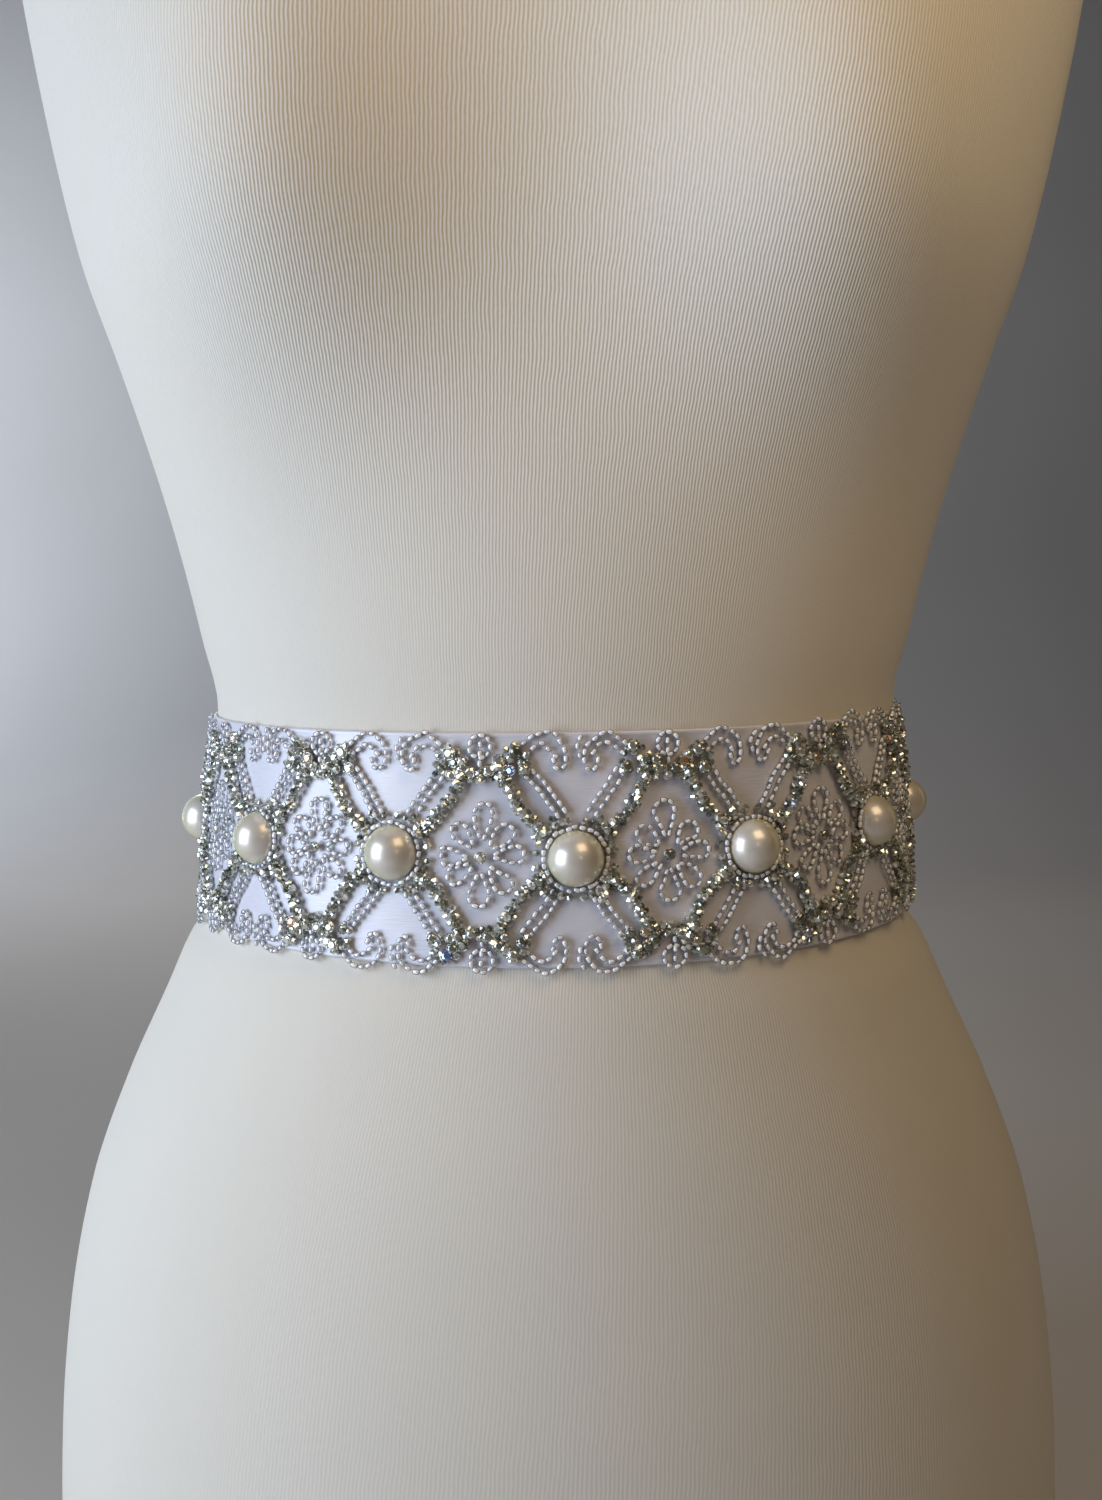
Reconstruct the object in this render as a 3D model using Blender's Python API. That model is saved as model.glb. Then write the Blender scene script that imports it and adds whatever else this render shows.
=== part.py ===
"""A beaded bridal sash worn by a limbless dress form that stands on its flat base.

Run with blender --background --python part.py, or from Blender's text editor. Metres, +Z up.
The dress form faces -Y and its base lies on the plane Z = 0. The sash is a satin ribbon round
the waist, lapped at the centre back, with an openwork beaded applique and domed pearls on it.
"""

import math

import bmesh
import bpy
import numpy as np
from mathutils import Matrix, Vector, geometry

MM = 0.001

# Sash: the ribbon is the driving size, a 2.5 inch satin
RIBBON_WIDTH = 63.5 * MM
RIBBON_WALL = 1.0 * MM
RIBBON_LAP = 26 * MM
LAP_RAMP = 25 * MM
RIBBON_COLUMNS = 96
SEAM_GAP = 0.3 * MM

# Waist section of the dress form, halfway up the ribbon, and how fast it widens downwards
SASH_HEIGHT = 300 * MM
WAIST_HALF_WIDTH = 114.8 * MM
WAIST_HALF_DEPTH = 100.5 * MM
WAIST_FLARE = 0.088

# The form keeps that straight flare for this far above and below the ribbon's middle
WAIST_REST = 33.5 * MM

# How far the sash is turned round the waist, to the right of a person who faces the form, and how
# much it climbs on that side, as a part of the distance across
SASH_TURN = 6.2 * MM
SASH_CLIMB = 0.009

# Pearls and the repeat of the applique round the waist
PEARL_RADIUS = 7.75 * MM
PEARL_COUNT = 11
REPEAT = 50.3 * MM
APPLIQUE_DROP = 1.2 * MM
APPLIQUE_GAP = 0.4 * MM
APPLIQUE_EDGE = 1.2 * MM
APPLIQUE_RIDGE = 2.3 * MM

# Repeats that were sewn a little off their even places, counted from the centre pearl: how far
# they are moved to the right and up, millimetres
SEWN_OFF = {-2: (0.9, 0.3), -1: (-0.3, 0.0), 0: (0.0, -0.9), 2: (-0.6, 1.7), 3: (0.0, 1.0)}

FORM_COLUMNS = 36
FORM_BASE = -300 * MM
FORM_TOP = 480 * MM

# Dress form sections, millimetres: height above the ribbon's middle, half width, depth in front
# of the axis and depth behind it
FORM_ROWS = (
    (-300, 174.8, 113.0, 109.0),
    (-245, 173.6, 119.0, 121.0),
    (-205, 171.5, 122.0, 127.0),
    (-165, 167.0, 121.0, 127.0),
    (-125, 158.5, 118.0, 122.0),
    (-90, 145.5, 114.0, 116.0),
    (-60, 131.4, 108.7, 109.2),
    (-43, 123.6, 105.9, 106.1),
    (-33.5, 117.7, 103.4, 103.4),
    (0, 114.8, 100.5, 100.5),
    (33.5, 111.9, 97.6, 97.6),
    (55, 116.3, 98.7, 99.2),
    (80, 121.8, 99.5, 102.0),
    (110, 129.5, 100.0, 107.0),
    (140, 138.4, 100.0, 112.0),
    (170, 148.9, 100.0, 116.0),
    (205, 157.9, 99.0, 119.0),
    (250, 166.9, 95.0, 119.0),
    (300, 174.0, 89.0, 112.0),
    (340, 175.5, 80.0, 102.0),
    (370, 163.0, 71.0, 89.0),
    (392, 130.0, 61.0, 77.0),
    (408, 95.0, 56.0, 67.0),
    (424, 69.0, 54.0, 61.0),
    (445, 60.0, 53.0, 57.0),
    (480, 57.0, 51.0, 53.0),
)

# Bust: two soft mounds added in front of the sections
BUST_SIDE = 88 * MM
BUST_HEIGHT = 178 * MM
BUST_RISE = 36 * MM
BUST_SPREAD = 38 * MM
BUST_REACH_UP = 58 * MM
BUST_REACH_DOWN = 44 * MM

# One quadrant of the applique's repeat, millimetres from the pearl: outwards, then up
HALO_RADIUS = 9.9
HALO_SIDES = 14
HALO_HALF = 1.6
DIAMOND_ARM = ((8.6, 6.2), (14.6, 11.8), (18.0, 18.2), (20.6, 24.6))
BRIDGE = ((18.6, 20.4), (25.15, 21.8))
CLUSTER_LINK = ((20.6, 24.6), (15.8, 27.2), (13.6, 22.4))
INNER_STRAND = ((13.6, 22.4), (8.6, 15.4), (4.0, 8.8))
LOBE = ((15.4, 28.2), (11.2, 31.4), (6.8, 32.0), (3.2, 29.6))
DROP = ((3.2, 29.6), (3.4, 23.8))
NOTCH = ((3.2, 29.6), (0.0, 28.2))
OUTER_LOOP = (25.15, 29.6)
LOOP_STEM = ((25.15, 21.8), (25.15, 27.6))
FLOWER_LINK = ((10.5, 0.0), (14.0, 0.0))
LOOP_RADIUS = 3.2
STONE_CLUSTERS = ((20.6, 24.6), (15.8, 27.2), (13.6, 22.4))
CLUSTER_RADIUS = 2.9
FLOWER_TIPS = (13.9, 11.4, 13.4, 11.4, 13.9, 11.4, 13.4, 11.4)
FLOWER_VALLEY = 5.4
PETAL_HALF = 2.2
ARM_HALF = 1.8
STRAND_HALF = 1.9
ROW_HALF = 1.2


def make_material(name, rgb, roughness, metallic=0.0):
    material = bpy.data.materials.new(name)
    material.use_nodes = True
    shader = material.node_tree.nodes["Principled BSDF"]
    shader.inputs["Base Color"].default_value = (*rgb, 1.0)
    shader.inputs["Roughness"].default_value = roughness
    shader.inputs["Metallic"].default_value = metallic
    material.diffuse_color = (*rgb, 1.0)
    return material


def add_object(name, shape, material, collection, parent):
    """A mesh object made from a bmesh, with outward faces, in the collection and under the parent."""
    bmesh.ops.recalc_face_normals(shape, faces=shape.faces)
    mesh = bpy.data.meshes.new(name)
    shape.to_mesh(mesh)
    shape.free()
    mesh.materials.append(material)
    obj = bpy.data.objects.new(name, mesh)
    obj.parent = parent
    collection.objects.link(obj)
    return obj


def loft(rings, closed_rings=True):
    """A bmesh through rings of equally many points, each ring joined to the next and the ends capped."""
    shape = bmesh.new()
    loops = [[shape.verts.new(point) for point in ring] for ring in rings]
    count = len(loops[0])
    for low, high in zip(loops, loops[1:]):
        for i in range(count if closed_rings else count - 1):
            j = (i + 1) % count
            shape.faces.new((low[i], low[j], high[j], high[i]))
    shape.faces.new(loops[0][::-1])
    shape.faces.new(loops[-1])
    return shape


def smooth_column(heights, values, at):
    """Cubic curve through the table's values, flat where they turn, so that it never overshoots."""
    step = np.diff(heights)
    rise = np.diff(values) / step
    slope = np.zeros(len(values))
    same_way = rise[:-1] * rise[1:] > 0
    slope[1:-1][same_way] = 2 * (rise[:-1] * rise[1:])[same_way] / (rise[:-1] + rise[1:])[same_way]
    slope[0], slope[-1] = rise[0], rise[-1]
    i = np.clip(np.searchsorted(heights, at) - 1, 0, len(step) - 1)
    t = (at - heights[i]) / step[i]
    return (
        values[i] * (1 + 2 * t) * (1 - t) ** 2
        + slope[i] * step[i] * t * (1 - t) ** 2
        + values[i + 1] * t**2 * (3 - 2 * t)
        - slope[i + 1] * step[i] * t**2 * (1 - t)
    )


def form_section(height):
    """Half width, depth in front and depth behind of the dress form at a height above the ribbon's middle."""
    table = np.array(FORM_ROWS) * MM
    return [float(smooth_column(table[:, 0], table[:, c], height)) for c in (1, 2, 3)]


def bust_rise(x, height):
    """How far the bust stands out in front of the section there."""
    reach = BUST_REACH_UP if height > BUST_HEIGHT else BUST_REACH_DOWN
    upright = math.exp(-(((height - BUST_HEIGHT) / reach) ** 2) / 2)
    across = sum(math.exp(-(((x - side) / BUST_SPREAD) ** 2) / 2) for side in (-BUST_SIDE, BUST_SIDE))
    return BUST_RISE * upright * across


def form_ring(height):
    half_width, front, back = form_section(height)
    ring = []
    for i in range(FORM_COLUMNS):
        angle = 2 * math.pi * i / FORM_COLUMNS
        x = half_width * math.sin(angle)
        forward = math.cos(angle)
        y = -(front if forward > 0 else back) * forward
        if forward > 0:
            y -= bust_rise(x, height) * min(1.0, forward / 0.35)
        ring.append((x, y, SASH_HEIGHT + height))
    return ring


def form_heights():
    """Ring heights, closer where the form turns more quickly."""
    rest = WAIST_REST
    runs = ((FORM_BASE, -0.045, 11), (-0.045, -rest, 1), (-rest, rest, 3), (rest, 0.3, 14), (0.3, 0.43, 10))
    heights = [h for low, high, steps in runs for h in np.linspace(low, high, steps, endpoint=False)]
    return heights + [0.43, 0.455, FORM_TOP]


def waist_axes(rise):
    """Half width and half depth of the waist at a height above the ribbon's middle."""
    return WAIST_HALF_WIDTH - WAIST_FLARE * rise, WAIST_HALF_DEPTH - WAIST_FLARE * rise


def waist_angles():
    """Table of the angle round the waist against the length round it, both 0 at the centre front."""
    angles = np.linspace(-2 * math.pi, 2 * math.pi, 4001)
    speed = np.hypot(WAIST_HALF_WIDTH * np.cos(angles), WAIST_HALF_DEPTH * np.sin(angles))
    lengths = np.concatenate([[0], np.cumsum((speed[1:] + speed[:-1]) / 2 * np.diff(angles))])
    return lengths - np.interp(0, angles, lengths), angles


WAIST_LENGTHS, WAIST_ANGLES = waist_angles()
WAIST_ROUND = float(np.interp(2 * math.pi, WAIST_ANGLES, WAIST_LENGTHS))


def on_waist(along, rise, out):
    """The point a length round the waist from the centre front, at a rise, and so far out of the form."""
    angle = float(np.interp(along, WAIST_LENGTHS, WAIST_ANGLES))
    height = rise + SASH_CLIMB * WAIST_HALF_WIDTH * math.sin(angle)
    a, b = waist_axes(height)
    across = Vector((math.sin(angle) / a, -math.cos(angle) / b, 0)).normalized()
    point = Vector((a * math.sin(angle), -b * math.cos(angle), SASH_HEIGHT + height))
    return point + across * out


def ribbon_section(along):
    """Four corners of the ribbon's wall at a length round the waist: one end laps over the other."""
    lap_start = SASH_TURN + WAIST_ROUND / 2 - RIBBON_LAP / 2 - LAP_RAMP
    ramp = min(1.0, max(0.0, (along - lap_start) / LAP_RAMP))
    lift = (RIBBON_WALL + SEAM_GAP + 0.1 * MM) * ramp * ramp * (3 - 2 * ramp)
    inside = SEAM_GAP + lift
    half = RIBBON_WIDTH / 2
    corners = ((-half, inside), (-half, inside + RIBBON_WALL), (half, inside + RIBBON_WALL), (half, inside))
    return [on_waist(along, rise, out) for rise, out in corners]


def strip(points, half):
    """A band of quads along the points, mitred where it bends, as flat outlines."""
    points = [Vector(p) for p in points]
    loop = (points[0] - points[-1]).length < 1e-9
    rights = []
    for i, point in enumerate(points):
        before = points[i - 1] if i else (points[-2] if loop else None)
        after = points[i + 1] if i + 1 < len(points) else (points[1] if loop else None)
        ways = [w.normalized() for w in (before and point - before, after and after - point) if w]
        way = sum(ways, Vector((0, 0))).normalized()
        reach = half / max(0.5, way.dot(ways[0]))
        rights.append(Vector((way.y, -way.x)) * reach)
    return [
        [points[i] - rights[i], points[i] + rights[i], points[i + 1] + rights[i + 1], points[i + 1] - rights[i + 1]]
        for i in range(len(points) - 1)
    ]


def disc(centre, radius, sides=8):
    turn = 2 * math.pi / sides
    return [Vector(centre) + Vector((math.cos(turn * i), math.sin(turn * i))) * radius for i in range(sides)]


def repeat_outlines(first, last):
    """Flat outlines and ridge lines of one repeat round its pearl, in millimetres from the pearl."""
    ring = [Vector(p) for p in disc((0, 0), HALO_RADIUS, HALO_SIDES)]
    ring.append(ring[0])
    outlines = strip(ring, HALO_HALF)
    ridges = [ring]
    for side in (-1, 1):
        at_end = (side < 0 and first) or (side > 0 and last)
        if not at_end:
            outlines += strip([(x * side, y) for x, y in FLOWER_LINK], ROW_HALF)
        for up in (-1, 1):
            bands = [(DIAMOND_ARM, ARM_HALF), (CLUSTER_LINK, ARM_HALF), (INNER_STRAND, STRAND_HALF)]
            bands += [(LOBE, STRAND_HALF), (DROP, STRAND_HALF), (NOTCH, ROW_HALF)]
            if not at_end:
                bands += [(BRIDGE, ARM_HALF), (LOOP_STEM, ARM_HALF)]
            for line, half in bands:
                placed = [Vector((x * side, y * up)) for x, y in line]
                outlines += strip(placed, half)
                ridges.append(placed)
            for x, y in STONE_CLUSTERS:
                outlines.append(disc((x * side, y * up), CLUSTER_RADIUS, 6))
            if side > 0 and not at_end:
                outlines.append(disc((OUTER_LOOP[0], OUTER_LOOP[1] * up), LOOP_RADIUS))
    if not last:
        outlines.append(flower_outline(REPEAT / MM / 2))
        ridges.append([Vector((REPEAT / MM / 2 - 12, 0)), Vector((REPEAT / MM / 2, 0))])
        ridges.append([Vector((REPEAT / MM / 2, 0)), Vector((REPEAT / MM / 2 + 12, 0))])
        ridges.append([Vector((REPEAT / MM / 2, -10)), Vector((REPEAT / MM / 2, 0)), Vector((REPEAT / MM / 2, 10))])
    return outlines, ridges


def flower_outline(centre):
    """Outline of the eight petals, each with its shoulders, its tip and the valley after it."""
    points = []
    for i, tip in enumerate(FLOWER_TIPS):
        way = math.pi / 2 - i * math.pi / 4
        along = Vector((math.cos(way), math.sin(way)))
        across = Vector((-along.y, along.x))
        valley = way - math.pi / 8
        points += [along * (tip * 0.8) + across * PETAL_HALF, along * tip, along * (tip * 0.8) - across * PETAL_HALF]
        points.append(Vector((math.cos(valley), math.sin(valley))) * FLOWER_VALLEY)
    return [point + Vector((centre, 0)) for point in points]


def repeat_place(k):
    """Centre of a repeat, in millimetres round the waist from the centre front and up."""
    aside, up = SEWN_OFF.get(k, (0.0, 0.0))
    return Vector(((k * REPEAT + SASH_TURN) / MM + aside, up))


def applique_outlines():
    """Every outline and ridge of the applique, in millimetres round the waist from the centre front and up."""
    outlines, ridges = [], []
    reach = PEARL_COUNT // 2
    for k in range(-reach, reach + 1):
        shift = repeat_place(k)
        faces, lines = repeat_outlines(k == -reach, k == reach)
        outlines += [[p + shift for p in face] for face in faces]
        ridges += [[p + shift for p in line] for line in lines]
    return outlines, ridges


def counter_clockwise(outline):
    area = sum(a.x * b.y - b.x * a.y for a, b in zip(outline, outline[1:] + outline[:1]))
    return outline if area > 0 else outline[::-1]


def triangulate(points, edges, faces, kind):
    return geometry.delaunay_2d_cdt([Vector(p) for p in points], edges, faces, kind, 1e-4, True)


def inside_loops(points, loops):
    """For each point, whether it is inside the closed lines, by how many of them lie to its right."""
    starts = np.array([p[:] for loop in loops for p in loop])
    ends = np.array([p[:] for loop in loops for p in loop[1:] + loop[:1]])
    x, y = points[:, 0, None], points[:, 1, None]
    crosses = (starts[:, 1] > y) != (ends[:, 1] > y)
    rise = np.where(starts[:, 1] == ends[:, 1], 1.0, ends[:, 1] - starts[:, 1])
    at = starts[:, 0] + (y - starts[:, 1]) * (ends[:, 0] - starts[:, 0]) / rise
    return (crosses & (at > x)).sum(axis=1) % 2 == 1


def middles(verts, triangles):
    corners = np.array([v[:] for v in verts])
    return corners[np.array(triangles)].mean(axis=1)


def merged_loops(outlines):
    """Closed border lines of the union of the outlines."""
    points, faces = [], []
    for outline in outlines:
        faces.append(list(range(len(points), len(points) + len(outline))))
        points += counter_clockwise(outline)
    verts, _, triangles, _, _, _ = triangulate(points, [], faces, 0)
    at = middles(verts, triangles)
    covered = np.zeros(len(triangles), bool)
    for outline in outlines:
        low, high = np.min(outline, axis=0), np.max(outline, axis=0)
        near = np.flatnonzero(((at > low) & (at < high)).all(axis=1))
        covered[near] |= inside_loops(at[near], [outline])
    borders = {}
    inner = {(t[i - 1], t[i]) for t, kept in zip(triangles, covered) if kept for i in range(3)}
    for a, b in inner:
        if (b, a) not in inner:
            borders.setdefault(a, []).append(b)
    loops = []
    while borders:
        start = next(iter(borders))
        loop, at = [start], borders[start].pop()
        while at != start:
            loop.append(at)
            at = borders[at].pop()
        for a in loop:
            if a in borders and not borders[a]:
                del borders[a]
        loops.append([verts[i] for i in loop])
    return loops


def tidy_loop(loop, shortest=1.3, flattest=0.3):
    """The loop without points that lie close together, or nearly on the line between their neighbours."""
    points = list(loop)
    changed = True
    while changed and len(points) > 4:
        changed = False
        for i in range(len(points)):
            a, p, b = points[i - 1], points[i], points[(i + 1) % len(points)]
            base = b - a
            off = abs(base.x * (p.y - a.y) - base.y * (p.x - a.x)) / max(base.length, 1e-6)
            if off < flattest and base.length < 9.0:
                del points[i]
                changed = True
                break
            if (p - a).length < shortest:
                points[i - 1] = (a + p) / 2
                del points[i]
                changed = True
                break
    return points


def loop_area(loop):
    return sum(a.x * b.y - b.x * a.y for a, b in zip(loop, loop[1:] + loop[:1])) / 2


def cover(loops, inner_points, inner_edges):
    """Triangles over the area within the loops, as indices: the loops' points, then the rest."""
    points = [p for loop in loops for p in loop]
    edges = []
    for loop in loops:
        base = len(edges)
        edges += [(base + i, base + (i + 1) % len(loop)) for i in range(len(loop))]
    border = len(points)
    all_points = points + inner_points
    all_edges = edges + [(border + a, border + b) for a, b in inner_edges]
    verts, _, triangles, origins, _, _ = triangulate(all_points, all_edges, [], 0)
    number = {}
    extra = []
    for i, origin in enumerate(origins):
        first = min(origin) if origin else None
        if first is not None and first < border:
            number[i] = first
        else:
            number[i] = border + len(extra)
            extra.append(verts[i])
    inside = inside_loops(middles(verts, triangles), loops)
    kept = [[number[i] for i in t] for t, within in zip(triangles, inside) if within]
    return points, extra, kept


def border_distance(point, loops):
    best = 1e9
    for loop in loops:
        for a, b in zip(loop, loop[1:] + loop[:1]):
            if abs(a.x - point.x) < 12:
                way = b - a
                t = min(1.0, max(0.0, (point - a).dot(way) / max(way.length_squared, 1e-9)))
                best = min(best, (a + way * t - point).length)
    return best


def ridge_points(ridges, loops):
    """Points along the ridges that lie well inside the border, and the lines that join neighbours."""
    points, edges = [], []
    for line in ridges:
        last = None
        for p in line:
            if border_distance(p, loops) < 0.8:
                last = None
                continue
            near = [i for i, q in enumerate(points) if (q - p).length < 1.6]
            at = near[0] if near else len(points)
            if not near:
                points.append(p)
            if last is not None and last != at:
                edges.append((last, at))
            last = at
    return points, edges


def applique_shape(loops, points, edges):
    """The openwork wall: plain inside, raised outside along its ridges, wrapped on the ribbon."""
    shape = bmesh.new()
    inside = SEAM_GAP + RIBBON_WALL + APPLIQUE_GAP

    def wrapped(p, out):
        return on_waist(p.x * MM, p.y * MM - APPLIQUE_DROP, inside + out)

    border, extra, front = cover(loops, points, edges)
    _, plain, back = cover(loops, [], [])
    outer = [shape.verts.new(wrapped(p, APPLIQUE_EDGE)) for p in border]
    outer += [shape.verts.new(wrapped(p, APPLIQUE_RIDGE)) for p in extra]
    inner = [shape.verts.new(wrapped(p, 0)) for p in border + plain]
    for a, b, c in front:
        shape.faces.new((outer[a], outer[b], outer[c]))
    for a, b, c in back:
        shape.faces.new((inner[c], inner[b], inner[a]))
    base = 0
    for loop in loops:
        for i in range(len(loop)):
            a, b = base + i, base + (i + 1) % len(loop)
            shape.faces.new((inner[a], inner[b], outer[b], outer[a]))
        base += len(loop)
    return shape


def pearl_shape():
    """A domed pearl: the front half of a ball on a flat back that faces -Z."""
    shape = bmesh.new()
    bmesh.ops.create_uvsphere(shape, u_segments=14, v_segments=10, radius=PEARL_RADIUS)
    cut = bmesh.ops.bisect_plane(
        shape,
        geom=shape.verts[:] + shape.edges[:] + shape.faces[:],
        plane_co=(0, 0, 0),
        plane_no=(0, 0, -1),
        clear_outer=True,
    )
    rim = [e for e in cut["geom_cut"] if isinstance(e, bmesh.types.BMEdge)]
    bmesh.ops.edgeloop_fill(shape, edges=rim)
    return shape


def pearl_matrix(k):
    """Place and turn of a pearl on the ribbon: its Z axis points straight out of the cloth."""
    out = SEAM_GAP + RIBBON_WALL + SEAM_GAP
    step = 1 * MM
    along, up = repeat_place(k) * MM
    up -= APPLIQUE_DROP
    at = on_waist(along, up, out)
    across = (on_waist(along + step, up, out) - on_waist(along - step, up, out)).normalized()
    upward = (on_waist(along, up + step, out) - on_waist(along, up - step, out)).normalized()
    outward = across.cross(upward).normalized()
    turn = Matrix((across, outward.cross(across), outward)).transposed()
    return Matrix.Translation(at) @ turn.to_4x4()


def build():
    for obj in list(bpy.data.objects):
        bpy.data.objects.remove(obj)
    collection = bpy.data.collections.new("bridal_sash_on_dress_form")
    bpy.context.scene.collection.children.link(collection)
    parent = bpy.data.objects.new("bridal_sash_on_dress_form", None)
    collection.objects.link(parent)

    jersey = make_material("ivory_jersey", (0.78, 0.73, 0.64), 0.9)
    satin = make_material("white_satin", (0.86, 0.85, 0.88), 0.35)
    beads = make_material("silver_beads", (0.62, 0.61, 0.58), 0.25, 0.8)
    pearl = make_material("ivory_pearl", (0.86, 0.83, 0.74), 0.2)

    form = loft([form_ring(height) for height in form_heights()])
    add_object("dress_form", form, jersey, collection, parent)

    half_length = (WAIST_ROUND + RIBBON_LAP) / 2
    stations = np.linspace(SASH_TURN - half_length, SASH_TURN + half_length, RIBBON_COLUMNS + 5)
    ribbon = loft([ribbon_section(float(along)) for along in stations])
    add_object("satin_ribbon", ribbon, satin, collection, parent)

    outlines, ridges = applique_outlines()
    loops = [tidy_loop(loop) for loop in merged_loops(outlines)]
    loops = [loop for loop in loops if abs(loop_area(loop)) > 9.0]
    points, edges = ridge_points(ridges, loops)
    add_object("beaded_applique", applique_shape(loops, points, edges), beads, collection, parent)

    reach = PEARL_COUNT // 2
    for k in range(-reach, reach + 1):
        dome = add_object(f"pearl_{k + reach + 1:02d}", pearl_shape(), pearl, collection, parent)
        dome.matrix_local = pearl_matrix(k)


build()
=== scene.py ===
import math

import bmesh
import bpy
import numpy as np
from mathutils import Matrix, Vector


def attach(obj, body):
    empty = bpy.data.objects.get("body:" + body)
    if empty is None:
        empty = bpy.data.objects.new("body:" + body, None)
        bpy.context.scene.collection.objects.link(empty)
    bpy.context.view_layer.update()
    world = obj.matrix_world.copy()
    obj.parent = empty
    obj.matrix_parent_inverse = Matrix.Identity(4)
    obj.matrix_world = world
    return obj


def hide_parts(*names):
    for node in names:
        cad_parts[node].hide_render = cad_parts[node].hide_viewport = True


# The looks of a beaded bridal sash on a limbless dress form. Metres, +Z up, the form faces -Y.
# Points on the sash are given in its flat pattern: millimetres along the ribbon and up it.

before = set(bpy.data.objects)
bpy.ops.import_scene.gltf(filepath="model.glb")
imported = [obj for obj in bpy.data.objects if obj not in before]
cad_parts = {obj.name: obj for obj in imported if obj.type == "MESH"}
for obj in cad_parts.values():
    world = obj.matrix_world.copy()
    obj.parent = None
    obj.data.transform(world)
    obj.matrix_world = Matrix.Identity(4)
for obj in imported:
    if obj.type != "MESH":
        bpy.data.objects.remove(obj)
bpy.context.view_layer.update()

MM = 0.001

# Sash, the same sizes as in the part's source
RIBBON_WIDTH = 63.5 * MM
RIBBON_WALL = 1.0 * MM
RIBBON_LAP = 26 * MM
LAP_RAMP = 25 * MM
SEAM_GAP = 0.3 * MM
SASH_HEIGHT = 300 * MM
SASH_TURN = 6.2 * MM
SASH_CLIMB = 0.009
WAIST_HALF_WIDTH = 114.8 * MM
WAIST_HALF_DEPTH = 100.5 * MM
WAIST_FLARE = 0.088
PEARL_RADIUS = 7.75 * MM
PEARL_COUNT = 11
REPEAT = 50.3
APPLIQUE_DROP = 1.2 * MM
# By the repeat's number, 0 in the middle: how far it was sewn off its even place, along and up, and
# how much higher than its pearl its net was sewn, millimetres
SEWN_OFF = {-2: (0.9, 0.3), -1: (-0.3, 0.0), 0: (0.0, -0.9), 2: (-0.6, 1.7), 3: (0.0, 1.0)}
NET_LIFT = {-2: 0.2, -1: 0.2, 0: 1.6, 1: 0.6, 2: 1.0, 3: 0.6}

# Dress form sections, millimetres: height above the ribbon's middle, half width, depth in front
# of the axis and depth behind it
FORM_ROWS = (
    (-300, 174.8, 113.0, 109.0),
    (-245, 173.6, 119.0, 121.0),
    (-205, 171.5, 122.0, 127.0),
    (-165, 167.0, 121.0, 127.0),
    (-125, 158.5, 118.0, 122.0),
    (-90, 145.5, 114.0, 116.0),
    (-60, 131.4, 108.7, 109.2),
    (-43, 123.6, 105.9, 106.1),
    (-33.5, 117.7, 103.4, 103.4),
    (0, 114.8, 100.5, 100.5),
    (33.5, 111.9, 97.6, 97.6),
    (55, 116.3, 98.7, 99.2),
    (80, 121.8, 99.5, 102.0),
    (110, 129.5, 100.0, 107.0),
    (140, 138.4, 100.0, 112.0),
    (170, 148.9, 100.0, 116.0),
    (205, 157.9, 99.0, 119.0),
    (250, 166.9, 95.0, 119.0),
    (300, 174.0, 89.0, 112.0),
    (340, 175.5, 80.0, 102.0),
    (370, 163.0, 71.0, 89.0),
    (392, 130.0, 61.0, 77.0),
    (408, 95.0, 56.0, 67.0),
    (424, 69.0, 54.0, 61.0),
    (445, 60.0, 53.0, 57.0),
    (480, 57.0, 51.0, 53.0),
)
BUST_SIDE = 88 * MM
BUST_HEIGHT = 178 * MM
BUST_RISE = 36 * MM
BUST_SPREAD = 38 * MM
BUST_REACH_UP = 58 * MM
BUST_REACH_DOWN = 44 * MM
# The bust fades to nothing at the sides, from where the cosine of the angle from the front is this
BUST_FADE = 0.35

# Rows of the form's skin, metres above the ribbon's middle and the share of the section's width
# there: the flat base with its rounded edge, the body's lowest, highest and number, and the neck's
BASE_ROWS = ((-0.3, 0.5), (-0.3, 0.94), (-0.3, 0.985), (-0.299, 0.995))
BODY_ROWS = (-0.296, 0.476, 156)
NECK_ROWS = ((0.479, 0.985), (0.48, 0.95), (0.48, 0.94), (0.48, 0.6), (0.48, 0.25))
FORM_COLUMNS = 144
FLAT_END_SHARE = 0.95

# Jersey: its wales run up the form, as many at the waist as at the chest
JERSEY_WALES = 850
JERSEY_GIRTH = 0.67
JERSEY_LEAN = 0.04

# Ribbon's section: (distance in from its edge, level) of the selvage, and its two faces' levels,
# millimetres above the waist section
SELVAGE = ((0.0, 0.35), (0.0, 1.15), (0.5, 1.3), (1.1, 1.2), (1.6, 1.05))
RIBBON_FACE = 1.05
RIBBON_BACK = 0.35
RIBBON_STATIONS = 330

# Beads, threads and the rings round the pearls, millimetres
SEED_LENGTH = 1.8
SEED_DIAMETER = 1.4
SEED_SPACING = 2.2
HALO_SPACING = 1.95
CUT_DIAMETER = 2.2
CUT_SPACING = 2.1
THREAD_DIAMETER = 0.2
THREAD_STEP = 1.4
# Rows are drawn as points about this far apart
LINE_STEP = 0.7
HALO_RADIUS = 8.5

# Heights of the bead rows above the waist section, millimetres
NET_LEVEL = 2.25
ROW_LEVEL = 2.5
TOP_LEVEL = 3.6
HALO_LEVEL = 3.0
STONE_LEVEL = 3.1
PEARL_LEVEL = 1.65


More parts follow.
